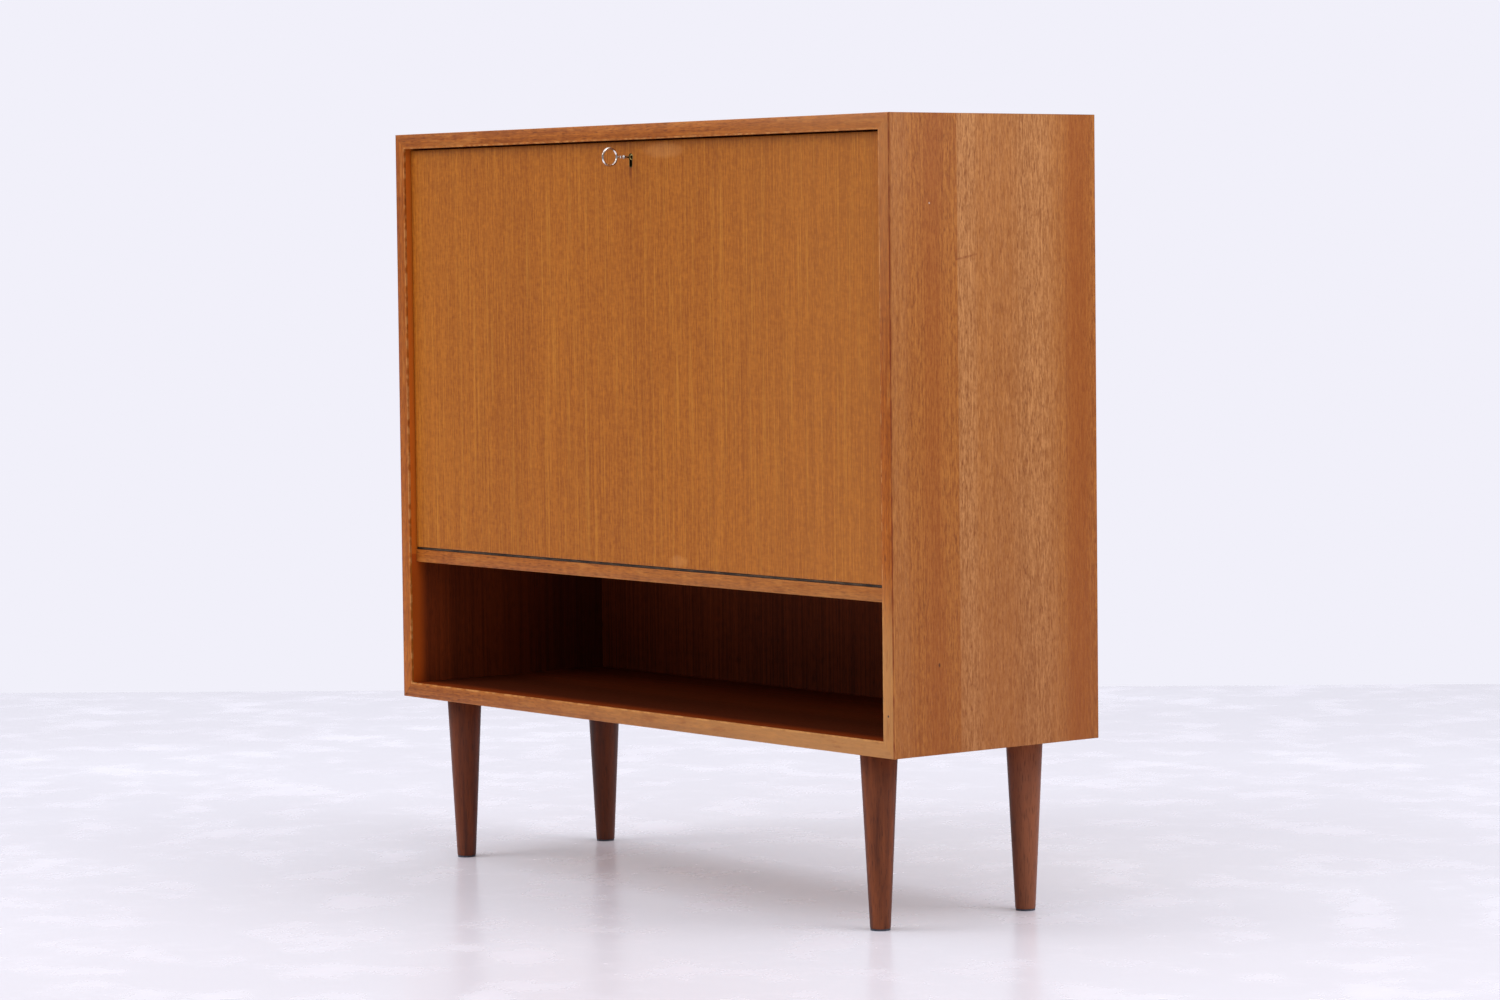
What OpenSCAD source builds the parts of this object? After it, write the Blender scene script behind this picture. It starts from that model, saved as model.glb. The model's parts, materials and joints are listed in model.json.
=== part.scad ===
// Secretary desk: a veneered carcass on four turned legs, with a fall flap that
// opens down into a writing surface, an open compartment below it, and a small
// insert with pigeonholes and two drawers behind the flap.
// Millimetres. X runs along the width, Y towards the back, Z up. The origin is on
// the floor, at the middle of the width and of the depth over the key.

/* [Carcass] */
// Width over the sides
body_w = 1000; // [800:10:1300]
// Depth from the front edges to the back
body_d = 320; // [260:5:420]
// Height without the legs
body_h = 740; // [600:10:900]
// Thickness of the side, top and bottom boards
board_t = 19; // [15:0.5:24]
// Thickness of the solid lipping on each front edge
lip_t = 3; // [2:0.5:6]
// Thickness of the back panel
back_t = 6; // [4:0.5:8]
// Width of the rebate that the back panel sits in
rebate_w = 9; // [7:0.5:10]
// Play round the back panel in its rebate
panel_gap = 0.3; // [0.1:0.1:0.8]

/* [Open compartment and deck] */
// Clear height of the open compartment
compartment_h = 159.5; // [120:0.5:220]
// Thickness of the deck that the flap is hinged to
deck_t = 16.5; // [15:0.5:22]
// Diameter of the joint dowels
dowel_d = 6; // [5:1:8]
// Dowels in each end of the deck
dowel_count = 3; // [2:1:4]

/* [Flap] */
// Thickness of the flap
flap_t = 19; // [15.5:0.5:23]
// Distance that the flap's face lies behind the front edges
flap_recess = 10; // [5:0.5:20]
// Gap at each side of the flap
flap_side_gap = 2; // [1:0.5:4]
// Gap over the flap
flap_top_gap = 2; // [1.5:0.1:5]
// Thickness of the lipping round the flap
flap_lip_t = 3; // [2:0.5:6]
// Height of the stop rail behind the flap's top edge
stop_rail_h = 14; // [10:1:20]
// Depth of the stop rail
stop_rail_d = 12; // [8:1:20]

/* [Flap hinge] */
// Diameter of the hinge knuckles
knuckle_d = 3; // [2.8:0.1:3.6]
// Thickness of the hinge leaves
leaf_t = 0.7; // [0.6:0.1:0.9]
// Width of each hinge leaf from the pin
leaf_w = 13; // [11:0.5:13.5]
// Diameter of the hinge pin
hinge_pin_d = 1.6; // [1.4:0.1:1.8]
// Knuckles along the hinge
knuckle_count = 31; // [21:2:45]
// Screws along each leaf
leaf_screws = 9; // [6:1:12]

/* [Flap stays] */
// Angle from the stay's pivot to its stud, seen from the hinge, with the flap shut
stay_lean = 25; // [20:1:32]
// Distance of the stay's pivot from the flap's inner face
stay_off = 13; // [11:0.5:16]
// Width of the stay arm
arm_w = 15; // [13:0.5:18]
// Thickness of the stay arm
arm_t = 2.5; // [2:0.5:3]
// Diameter of the stay's stud and rivet
stay_pin_d = 6; // [5:0.5:7]
// Space left between the shut arm and the back panel
stay_back_gap = 8; // [4:1:20]

/* [Lock and key] */
// Depth of the key's axis below the flap's top edge
key_drop = 19; // [16:0.5:20]
// Width of the lock's box
lock_w = 36; // [34:1:44]
// Depth of the lock's box into the flap
lock_d = 11; // [10:0.5:12]
// Travel of the bolt
bolt_travel = 9; // [7:0.5:9]
// Outside diameter of the key's ring
ring_d = 24; // [18:1:28]
// Thickness of the key's ring
ring_wire_d = 2.8; // [2:0.2:3.4]
// Distance from the flap's face to the middle of the ring
ring_out = 32; // [28:1:40]
// Diameter of the key's stem
stem_d = 4; // [3.4:0.2:4.4]

/* [Insert behind the flap] */
// Height of the insert
insert_h = 210; // [160:5:260]
// Depth of the insert
insert_d = 160; // [120:5:180]
// Thickness of the insert's boards
insert_t = 10; // [8:0.5:14]
// Space between the insert and each side, where the stay swings
insert_side_gap = 16; // [14:1:40]
// Clear width of each bay with a drawer
bay_w = 270; // [180:5:290]
// Clear height of each drawer's opening
drawer_h = 70; // [50:1:90]
// Play round a drawer
drawer_gap = 1; // [0.5:0.1:2]
// Thickness of a drawer's front
drawer_front_t = 12; // [10:0.5:16]
// Thickness of a drawer's sides and back
drawer_side_t = 8; // [6:0.5:10]
// Diameter of a drawer's knob
knob_d = 18; // [14:1:26]
// Length of a drawer's knob
knob_l = 16; // [12:1:20]
// Height of the upper shelf over the deck
shelf_z = 330; // [270:5:340]
// Thickness of the upper shelf
shelf_t = 12; // [10:1:18]
// Depth of the upper shelf
shelf_d = 200; // [140:5:210]

/* [Legs] */
// Height from the floor to the carcass
leg_h = 210; // [120:5:300]
// Diameter of a leg at the top
leg_top_d = 44.5; // [36:0.5:60]
// Diameter of a leg at the foot
leg_foot_d = 24.5; // [18:0.5:36]
// Distance from a side to a leg's axis
leg_side = 78; // [40:1:160]
// Distance from the front edges to the front legs' axis
leg_front = 43; // [34:1:80]
// Distance from the back to the back legs' axis
leg_back = 49; // [34:1:80]
// Thickness of the leg plate and of the glide
pad_t = 2; // [1:0.5:3]

/* [Hidden] */
$fn = 48;

LEFT = -1;
RIGHT = 1;

// Running and moving clearances
fit_gap = 0.06;
move_gap = 0.3;
// Gap left at a glued butt joint
glue_gap = 0.05;
over = 1;

// Planes of the carcass
key_reach = ring_out + ring_d / 2 - flap_recess;
front_y = (key_reach - body_d) / 2;
back_y = front_y + body_d;
back_in = back_y - back_t;
body_z = leg_h;
top_z = body_z + body_h;
floor_z = body_z + board_t;
ceiling_z = top_z - board_t;
side_x = body_w / 2;
inner_x = side_x - board_t;
lipped_y = front_y + lip_t;
deck_z = floor_z + compartment_h;
deck_top = deck_z + deck_t;

// Flap and its hinge; the pin lies just behind the flap's face. open_gap is the air
// between the open flap's foot and the deck's front edge.
hinge_play = 0.15;
open_gap = 0.05;
leaf_end = 1;
leaf_set = 0.5;
hinge_gap = knuckle_d + 2 * hinge_play;
face_y = front_y + flap_recess;
flap_in = face_y + flap_t;
flap_z = deck_top + hinge_gap;
flap_top = ceiling_z - flap_top_gap;
flap_x = inner_x - flap_side_gap;
pin_y = face_y + knuckle_d / 2 + hinge_play - open_gap;
pin_z = deck_top + hinge_gap / 2;

// Wood screws for the small fittings: diameter and length
screw_d = 3;
screw_l = 12;
leaf_screw_y = pin_y + 8;
leaf_screw_end = 30;
leaf_pitch = 2 * (flap_x - leaf_screw_end) / (leaf_screws - 1);
leaf_screw_xs = [for (i = [0:leaf_screws - 1]) leaf_screw_end - flap_x + i * leaf_pitch];
back_screw_l = 18;
back_screw_end = 40;

// Stays, seen from the side. The pivot and the stud lie at the same distance from
// the hinge pin, so the arm turns by half the flap's angle.
pivot_y = flap_in - pin_y + stay_off;
slot_end_w = 5;
arm_end = stay_pin_d / 2 + move_gap + slot_end_w;
stay_r = (back_in - stay_back_gap - pin_y - pivot_y - arm_end) / (2 * sin(45 + stay_lean / 2));
pivot_z = sqrt(stay_r * stay_r - pivot_y * pivot_y);
pivot_angle = atan2(pivot_y, pivot_z);
stud_y = stay_r * sin(pivot_angle + stay_lean);
stud_z = stay_r * cos(pivot_angle + stay_lean);
arm_tilt = atan2(stud_z - pivot_z, stud_y - pivot_y);
stud_near = 2 * stay_r * sin(stay_lean / 2);
stud_far = 2 * stay_r * sin(45 + stay_lean / 2);
// Layers of a stay, counted from the side's inner face
stud_plate_t = 2;
rivet_head_t = 1;
rivet_head_w = 4;
rivet_tail_t = 1.2;
rivet_clear = 0.7;
arm_x = stud_plate_t + rivet_head_t + rivet_clear;
ear_x = arm_x + arm_t + move_gap;
ear_t = 2;
stud_plate_d = 34;
stud_screw_r = 11;
stud_head_w = 5;
stud_head_t = 1.5;
bracket_w = 15;
bracket_h = 44;
bracket_t = 1.8;
bracket_screw_z = 14;
bracket_screw_in = 6;

// Lock
lock_wall = 2;
lock_h = 37;
lock_z = flap_top - lock_h;
key_z = flap_top - key_drop;
bolt_y = flap_in - lock_d / 2;
bolt_w = 28;
bolt_t = lock_d - 2 * lock_wall - 2 * move_gap;
bolt_sink = 0.5;
bolt_top = flap_top - bolt_sink;
bit_r = 7.5;
bit_t = 2.2;
bit_half_w = 2.6;
bit_room = 0.8;
hole_room = 1.2;
stem_socket = 1.3;
cover_w = 66;
cover_screw_x = 27;
cover_screw_drops = [8, 29];
liner_d = 9.4;
liner_slot_w = 6.4;
liner_drop = 13;
liner_wall = 0.8;
strike_w = 52;
strike_d = 14;
strike_t = 1.5;
strike_screw_x = 21;
bolt_play = 0.7;

// Key: how far its bead stands out of the flap, and the bead's size
bead_out = 11.3;
bead_d = 5;
collar_d = 5.8;
collar_l = 6;

// Insert
insert_y = back_in - insert_d;
insert_x = inner_x - insert_side_gap;
divider_x = insert_x - insert_t - bay_w;
insert_top_z = deck_top + insert_h;
drawer_mid_x = divider_x + bay_w / 2;
drawer_w = bay_w - 2 * drawer_gap;
drawer_lift = 0.4;
drawer_z = deck_top + drawer_lift;
drawer_top = deck_top + drawer_h - drawer_gap;
drawer_back_room = 12;
drawer_l = insert_d - drawer_back_room;
drawer_bottom_t = 3;
drawer_bottom_up = 5;
drawer_bottom_z = drawer_z + drawer_bottom_up;
drawer_back_drop = 4;
groove = 3;
tenon_d = 7;
tenon_l = 8;
pin_d = 5;
pin_l = 18;
pin_in = 10;
pin_edge = 30;
shelf_under = deck_top + shelf_z;
shelf_play = 0.5;
rail_play = 1;

// Legs
leg_bolt_d = 8;
leg_bolt_up = 14;
leg_bolt_down = 30;
plate_d = leg_top_d - 1.5;
plate_screw_r = 14;
plate_screw_l = 14;
glide_d = leg_foot_d - 1;
glide_pin_d = 2.5;
glide_pin_l = 12;

// Corner splines and deck dowels
spline_w = 12;
spline_t = 3;
spline_end = 25;
dowel_in = 12;
dowel_l = 30;
dowel_edge = 45;

VENEER = [0.66, 0.40, 0.20];
LIPPING = [0.70, 0.45, 0.24];
INNER = [0.74, 0.53, 0.33];
WALNUT = [0.36, 0.20, 0.13];
STEEL = [0.62, 0.62, 0.64];
BRASS = [0.76, 0.62, 0.34];
DARK = [0.22, 0.20, 0.19];

// ---------- shared shapes ----------

// Box between two limits on each axis
module span(x, y, z) {
    translate([x[0], y[0], z[0]]) cube([x[1] - x[0], y[1] - y[0], z[1] - z[0]]);
}

// The same shape on the right side, or mirrored on the left
module on_side(side) {
    if (side == RIGHT) children();
    else mirror([1, 0, 0]) children();
}

// Cylinder along Y from one depth to another
module rod_y(x, z, y0, y1, d) {
    translate([x, y1, z]) rotate([90, 0, 0]) cylinder(h = y1 - y0, d = d);
}

// Cylinder along X from one place to another
module rod_x(y, z, x0, x1, d) {
    translate([x0, y, z]) rotate([0, 90, 0]) cylinder(h = x1 - x0, d = d);
}

// Countersunk screw with its head's face at the origin and its point down
module wood_screw(d, l) {
    translate([0, 0, -d / 2]) cylinder(h = d / 2, r1 = d / 2, r2 = d);
    translate([0, 0, -l]) cylinder(h = l - d / 2, d = d);
}

// Outline of a lying bar with round ends: from x0 to x1 over the ends' centres
module bar_outline(x0, x1, w) {
    translate([x0, 0]) circle(d = w);
    translate([x1, 0]) circle(d = w);
    translate([x0, -w / 2]) square([x1 - x0, w]);
}

// ---------- carcass ----------

// Section of a board with mitred ends, lying along X with its outer face on top
module mitred_section(length) {
    polygon([[-length / 2, 0], [length / 2, 0],
             [length / 2 - board_t, -board_t], [board_t - length / 2, -board_t]]);
}

// One mitred board with its outer face up, and the back panel's rebate under it
module mitred_board(length) {
    difference() {
        translate([0, back_y, 0]) rotate([90, 0, 0])
            linear_extrude(back_y - lipped_y) mitred_section(length);
        span([-length / 2, length / 2], [back_in, back_y + over], [-board_t - over, rebate_w - board_t]);
    }
}

// Places on the four mitres: middle of each joint and the turn of its spline
module at_corners() {
    for (x = [-1, 1]) for (z = [-1, 1])
        translate([x * (side_x - board_t / 2), 0, (body_z + top_z) / 2 + z * (body_h - board_t) / 2])
            rotate([0, -45 * x * z, 0]) children();
}

module spline_shapes() {
    at_corners() span([-spline_w / 2, spline_w / 2],
                      [lipped_y + spline_end, back_in - spline_end], [-spline_t / 2, spline_t / 2]);
}

module corner_splines() {
    color(INNER) spline_shapes();
}

// Fractions along a board for the dowels
function dowel_ys() = [for (i = [0:dowel_count - 1])
    lipped_y + dowel_edge + i * (back_in - lipped_y - 2 * dowel_edge) / (dowel_count - 1)];

module dowel_shapes() {
    for (side = [LEFT, RIGHT]) on_side(side) for (y = dowel_ys())
        rod_x(y, deck_z + deck_t / 2, inner_x + dowel_in - dowel_l, inner_x + dowel_in, dowel_d);
}

module deck_dowels() {
    color(INNER) dowel_shapes();
}

module pin_shapes() {
    for (side = [LEFT, RIGHT]) on_side(side)
        for (y = [back_in - shelf_d + pin_edge, back_in - pin_edge])
            rod_x(y, shelf_under - pin_d / 2, inner_x + pin_in - pin_l, inner_x + pin_in, pin_d);
}

module shelf_pins() {
    color(BRASS) pin_shapes();
}

module side_board(side) {
    difference() {
        on_side(side) translate([side_x, 0, (body_z + top_z) / 2]) rotate([0, 90, 0]) mitred_board(body_h);
        spline_shapes();
        dowel_shapes();
        pin_shapes();
        back_screw_shapes();
        carcass_screw_shapes();
    }
}

module side_left() {
    color(VENEER) side_board(LEFT);
}

module side_right() {
    color(VENEER) side_board(RIGHT);
}

module top_board() {
    color(VENEER) difference() {
        translate([0, 0, top_z]) mitred_board(body_w);
        spline_shapes();
        back_screw_shapes();
        carcass_screw_shapes();
        span([-strike_w / 2, strike_w / 2], [bolt_y - strike_d / 2, bolt_y + strike_d / 2],
             [ceiling_z - over, ceiling_z + strike_t]);
        span([-bolt_w / 2 - bolt_play, bolt_w / 2 + bolt_play],
             [bolt_y - bolt_t / 2 - bolt_play, bolt_y + bolt_t / 2 + bolt_play],
             [ceiling_z - over, ceiling_z + bolt_travel]);
    }
}

module bottom_board() {
    color(VENEER) difference() {
        translate([0, 0, body_z]) mirror([0, 0, 1]) mitred_board(body_w);
        spline_shapes();
        back_screw_shapes();
        leg_bolt_shapes();
        plate_screw_shapes();
    }
}

// Mitred strip on a front edge, lying along X with its outer edge on top
module lipping(length) {
    translate([0, lipped_y, 0]) rotate([90, 0, 0]) linear_extrude(lip_t) mitred_section(length);
}

module lipping_left() {
    color(LIPPING) translate([-side_x, 0, (body_z + top_z) / 2]) rotate([0, -90, 0]) lipping(body_h);
}

module lipping_right() {
    color(LIPPING) translate([side_x, 0, (body_z + top_z) / 2]) rotate([0, 90, 0]) lipping(body_h);
}

module lipping_top() {
    color(LIPPING) translate([0, 0, top_z]) lipping(body_w);
}

module lipping_bottom() {
    color(LIPPING) translate([0, 0, body_z]) mirror([0, 0, 1]) lipping(body_w);
}

module deck_board() {
    color(VENEER) difference() {
        span([-inner_x, inner_x], [face_y + lip_t, back_in], [deck_z, deck_top]);
        dowel_shapes();
        carcass_screw_shapes();
    }
}

module deck_lipping() {
    color(LIPPING) span([-inner_x, inner_x], [face_y, face_y + lip_t], [deck_z, deck_top]);
}

module back_panel() {
    edge = side_x - board_t + rebate_w - panel_gap;
    color(INNER) difference() {
        span([-edge, edge], [back_in, back_y],
             [floor_z - rebate_w + panel_gap, ceiling_z + rebate_w - panel_gap]);
        back_screw_shapes();
    }
}

// Screws round the back panel, at the middle of the rebate
module back_screw_shapes() {
    edge_x = inner_x + rebate_w / 2;
    low_z = floor_z - rebate_w / 2;
    high_z = ceiling_z + rebate_w / 2;
    for (i = [0:4]) for (z = [low_z, high_z])
        translate([(i - 2) / 2 * (inner_x - back_screw_end), back_y, z])
            rotate([-90, 0, 0]) wood_screw(screw_d, back_screw_l);
    for (i = [0:3]) for (x = [-edge_x, edge_x])
        translate([x, back_y, low_z + (i + 0.5) / 4 * (high_z - low_z)])
            rotate([-90, 0, 0]) wood_screw(screw_d, back_screw_l);
}

module back_screws() {
    color(STEEL) back_screw_shapes();
}

module stop_rail() {
    color(LIPPING) span([rail_play - inner_x, inner_x - rail_play],
                        [flap_in + move_gap, flap_in + move_gap + stop_rail_d],
                        [ceiling_z - stop_rail_h, ceiling_z]);
}

module strike_plate() {
    color(BRASS) difference() {
        span([-strike_w / 2, strike_w / 2], [bolt_y - strike_d / 2, bolt_y + strike_d / 2],
             [ceiling_z, ceiling_z + strike_t]);
        span([-bolt_w / 2 - bolt_play, bolt_w / 2 + bolt_play],
             [bolt_y - bolt_t / 2 - bolt_play, bolt_y + bolt_t / 2 + bolt_play],
             [ceiling_z - over, ceiling_z + strike_t + over]);
        carcass_screw_shapes();
    }
}

// Screws of the hinge's lower leaf, the strike plate and the stay studs
module carcass_screw_shapes() {
    for (x = leaf_screw_xs)
        translate([x, leaf_screw_y, deck_top + leaf_t]) wood_screw(screw_d, screw_l);
    for (x = [-strike_screw_x, strike_screw_x])
        translate([x, bolt_y, ceiling_z]) rotate([180, 0, 0]) wood_screw(screw_d, screw_l);
    for (side = [LEFT, RIGHT]) on_side(side) for (z = [-stud_screw_r, stud_screw_r])
        translate([inner_x - stud_plate_t, pin_y + stud_y, pin_z + stud_z + z])
            rotate([0, -90, 0]) wood_screw(screw_d, screw_l);
}

module carcass_fitting_screws() {
    color(STEEL) carcass_screw_shapes();
}

// ---------- insert, drawers and shelf ----------

module insert_ends() {
    color(INNER) for (side = [LEFT, RIGHT]) on_side(side)
        span([insert_x - insert_t, insert_x], [insert_y, back_in], [deck_top, insert_top_z - insert_t]);
}

module insert_dividers() {
    color(INNER) for (side = [LEFT, RIGHT]) on_side(side)
        span([divider_x - insert_t, divider_x], [insert_y, back_in], [deck_top, insert_top_z - insert_t]);
}

module insert_top() {
    color(INNER) span([-insert_x, insert_x], [insert_y, back_in], [insert_top_z - insert_t, insert_top_z]);
}

module insert_shelves() {
    color(INNER) for (side = [LEFT, RIGHT]) on_side(side)
        span([divider_x, insert_x - insert_t], [insert_y, back_in],
             [deck_top + drawer_h, deck_top + drawer_h + insert_t]);
}

module upper_shelf() {
    color(INNER) span([shelf_play - inner_x, inner_x - shelf_play],
                      [back_in - shelf_d, back_in - shelf_play],
                      [shelf_under, shelf_under + shelf_t]);
}

module drawer_front(side) {
    color(LIPPING) on_side(side) difference() {
        span([drawer_mid_x - drawer_w / 2, drawer_mid_x + drawer_w / 2],
             [insert_y, insert_y + drawer_front_t], [drawer_z, drawer_top]);
        drawer_bottom_shape();
        drawer_tenon_shape();
    }
}

module drawer_bottom_shape() {
    half = drawer_w / 2 - drawer_side_t + groove;
    span([drawer_mid_x - half, drawer_mid_x + half],
         [insert_y + drawer_front_t - groove, insert_y + drawer_l - drawer_side_t + groove],
         [drawer_bottom_z, drawer_bottom_z + drawer_bottom_t]);
}

module drawer_bottom(side) {
    color(INNER) on_side(side) drawer_bottom_shape();
}

module drawer_sides(side) {
    color(INNER) on_side(side) difference() {
        for (x = [drawer_mid_x - drawer_w / 2, drawer_mid_x + drawer_w / 2 - drawer_side_t])
            span([x, x + drawer_side_t], [insert_y + drawer_front_t, insert_y + drawer_l],
                 [drawer_z, drawer_top]);
        drawer_bottom_shape();
    }
}

module drawer_back(side) {
    half = drawer_w / 2 - drawer_side_t;
    color(INNER) on_side(side) difference() {
        span([drawer_mid_x - half, drawer_mid_x + half],
             [insert_y + drawer_l - drawer_side_t, insert_y + drawer_l],
             [drawer_z, drawer_top - drawer_back_drop]);
        drawer_bottom_shape();
    }
}

module drawer_tenon_shape() {
    rod_y(drawer_mid_x, (drawer_z + drawer_top) / 2, insert_y, insert_y + tenon_l, tenon_d);
}

// Turned knob: waist, round cap and the tenon glued into the front
module drawer_knob(side) {
    r = knob_d / 2;
    neck_r = r * 0.62;
    rim_r = r * 0.9;
    cap_r = r * 1.6;
    hollow_r = r * 0.55;
    hollow_x = r * 1.02;
    color(WALNUT) on_side(side) {
        translate([drawer_mid_x, insert_y, (drawer_z + drawer_top) / 2]) rotate([90, 0, 0])
            rotate_extrude() difference() {
                union() {
                    square([neck_r, knob_l - r / 2]);
                    translate([0, knob_l - r]) square([rim_r, rim_r]);
                    intersection() {
                        translate([0, knob_l - r]) square([r, r]);
                        translate([0, knob_l - cap_r]) circle(r = cap_r);
                    }
                }
                translate([hollow_x, (knob_l - r) / 2]) circle(r = hollow_r);
            }
        drawer_tenon_shape();
    }
}

module drawer_left_front() { drawer_front(LEFT); }
module drawer_left_sides() { drawer_sides(LEFT); }
module drawer_left_back() { drawer_back(LEFT); }
module drawer_left_bottom() { drawer_bottom(LEFT); }
module drawer_left_knob() { drawer_knob(LEFT); }
module drawer_right_front() { drawer_front(RIGHT); }
module drawer_right_sides() { drawer_sides(RIGHT); }
module drawer_right_back() { drawer_back(RIGHT); }
module drawer_right_bottom() { drawer_bottom(RIGHT); }
module drawer_right_knob() { drawer_knob(RIGHT); }

// ---------- flap ----------

// Room for the lock and its cover in the flap
module lock_room() {
    span([-lock_w / 2, lock_w / 2], [flap_in - lock_d, flap_in + over], [lock_z, flap_top + over]);
    span([-cover_w / 2, cover_w / 2], [flap_in - lock_wall, flap_in + over], [lock_z, flap_top + over]);
}

module flap_board() {
    color(VENEER) difference() {
        span([flap_lip_t - flap_x, flap_x - flap_lip_t], [face_y, flap_in],
             [flap_z + flap_lip_t, flap_top - flap_lip_t]);
        lock_room();
        liner_shape(0);
        flap_screw_shapes();
    }
}

module flap_lippings() {
    side_w = flap_x - flap_lip_t - glue_gap;
    color(VENEER) {
        for (x = [-flap_x, flap_x - flap_lip_t])
            flap_strip([x, x + flap_lip_t], [flap_z, flap_top]);
        for (z = [flap_z, flap_top - flap_lip_t])
            flap_strip([-side_w, side_w], [z, z + flap_lip_t]);
    }
}

module flap_strip(x, z) {
    difference() {
        span(x, [face_y, flap_in], z);
        lock_room();
        flap_screw_shapes();
    }
}

// Screws of the hinge's upper leaf, the lock's cover and the stay brackets
module flap_screw_shapes() {
    for (x = leaf_screw_xs)
        translate([x, leaf_screw_y, flap_z - leaf_t]) rotate([180, 0, 0]) wood_screw(screw_d, screw_l);
    for (x = [-cover_screw_x, cover_screw_x]) for (z = cover_screw_drops)
        translate([x, flap_in, flap_top - z]) rotate([-90, 0, 0]) wood_screw(screw_d, screw_l);
    for (side = [LEFT, RIGHT]) on_side(side) for (z = [-bracket_screw_z, bracket_screw_z])
        translate([inner_x - ear_x - ear_t - bracket_screw_in, flap_in + bracket_t, pin_z + pivot_z + z])
            rotate([-90, 0, 0]) wood_screw(screw_d, screw_l);
}

module flap_fitting_screws() {
    color(STEEL) flap_screw_shapes();
}

// One leaf of the piano hinge. upper is 1 for the flap's leaf and 0 for the deck's;
// its knuckles are every second one along the pin.
module hinge_leaf(upper) {
    pitch = 2 * (flap_x - leaf_end) / knuckle_count;
    plate_z = upper ? pin_z + hinge_gap / 2 - leaf_t : pin_z - hinge_gap / 2;
    difference() {
        union() {
            span([leaf_end - flap_x, flap_x - leaf_end], [pin_y + knuckle_d / 2 + leaf_set, pin_y + leaf_w],
                 [plate_z, plate_z + leaf_t]);
            for (i = [upper:2:knuckle_count - 1]) {
                x0 = leaf_end - flap_x + i * pitch + move_gap / 2;
                x1 = x0 + pitch - move_gap;
                rod_x(pin_y, pin_z, x0, x1, knuckle_d);
                span([x0, x1], [pin_y, pin_y + leaf_w], [plate_z, plate_z + leaf_t]);
            }
        }
        rod_x(pin_y, pin_z, -flap_x, flap_x, hinge_pin_d + 2 * fit_gap);
        if (upper) flap_screw_shapes();
        else carcass_screw_shapes();
    }
}

module hinge_leaf_deck() {
    color(DARK) hinge_leaf(0);
}

module hinge_leaf_flap() {
    color(DARK) hinge_leaf(1);
}

module hinge_pin() {
    color(STEEL) rod_x(pin_y, pin_z, 2 * leaf_end - flap_x, flap_x - 2 * leaf_end, hinge_pin_d);
}

// ---------- stays ----------

// Places the right-hand stay's flat shapes: X along the arm, Z towards the side
module at_pivot(turn) {
    translate([0, pin_y + pivot_y, pin_z + pivot_z]) rotate([turn, 0, 0])
        rotate([90, 0, 90]) children();
}

module stay_arm(side) {
    color(STEEL) on_side(side) translate([inner_x - arm_x - arm_t, 0, 0]) at_pivot(arm_tilt)
        linear_extrude(arm_t) difference() {
            bar_outline(0, stud_far + arm_end - arm_w / 2, arm_w);
            bar_outline(stud_near, stud_far, stay_pin_d + 2 * move_gap);
            circle(d = stay_pin_d + 2 * fit_gap);
        }
}

// Angle bracket: a plate on the flap and an ear that carries the rivet
module stay_bracket(side) {
    ear_in = inner_x - ear_x - ear_t;
    color(STEEL) on_side(side) difference() {
        union() {
            span([ear_in + ear_t - bracket_w, ear_in + ear_t], [flap_in, flap_in + bracket_t],
                 [pin_z + pivot_z - bracket_h / 2, pin_z + pivot_z + bracket_h / 2]);
            span([ear_in, ear_in + ear_t], [flap_in, pin_y + pivot_y],
                 [pin_z + pivot_z - arm_w / 2, pin_z + pivot_z + arm_w / 2]);
            rod_x(pin_y + pivot_y, pin_z + pivot_z, ear_in, ear_in + ear_t, arm_w);
        }
        rod_x(pin_y + pivot_y, pin_z + pivot_z, ear_in - over, ear_in + ear_t + over, stay_pin_d);
        flap_screw_shapes();
    }
}

module stay_rivets() {
    color(STEEL) for (side = [LEFT, RIGHT]) on_side(side) {
        x0 = inner_x - ear_x - ear_t;
        x1 = inner_x - arm_x + move_gap;
        rod_x(pin_y + pivot_y, pin_z + pivot_z, x0 - rivet_tail_t, x0, stay_pin_d + rivet_head_w);
        rod_x(pin_y + pivot_y, pin_z + pivot_z, x0, x1, stay_pin_d);
        rod_x(pin_y + pivot_y, pin_z + pivot_z, x1, x1 + rivet_head_t, stay_pin_d + rivet_head_w);
    }
}

module stay_stud(side) {
    y = pin_y + stud_y;
    z = pin_z + stud_z;
    head_x = inner_x - ear_x;
    color(STEEL) on_side(side) difference() {
        union() {
            rod_x(y, z, inner_x - stud_plate_t, inner_x, stud_plate_d);
            rod_x(y, z, head_x, inner_x - stud_plate_t, stay_pin_d);
            rod_x(y, z, inner_x - arm_x + move_gap, inner_x - stud_plate_t,
                  stay_pin_d + stud_head_w);
            rod_x(y, z, head_x - stud_head_t, head_x, stay_pin_d + stud_head_w);
        }
        carcass_screw_shapes();
    }
}

module stay_arm_left() { stay_arm(LEFT); }
module stay_arm_right() { stay_arm(RIGHT); }
module stay_bracket_left() { stay_bracket(LEFT); }
module stay_bracket_right() { stay_bracket(RIGHT); }
module stay_stud_left() { stay_stud(LEFT); }
module stay_stud_right() { stay_stud(RIGHT); }

// ---------- lock and key ----------

// Keyhole outline in depth: a round hole for the stem over a slot for the bit
module keyhole(y0, y1, d, slot_w, drop) {
    rod_y(0, key_z, y0, y1, d);
    span([-slot_w / 2, slot_w / 2], [y0, y1], [key_z - drop + slot_w / 2, key_z]);
    rod_y(0, key_z - drop + slot_w / 2, y0, y1, slot_w);
}

// Outside of the brass liner, or its inside when shrunk by a wall
module liner_shape(wall) {
    ends = wall > 0 ? over : 0;
    keyhole(face_y - ends, flap_in - lock_d + ends, liner_d - 2 * wall,
            liner_slot_w - 2 * wall, liner_drop - wall);
}

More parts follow.
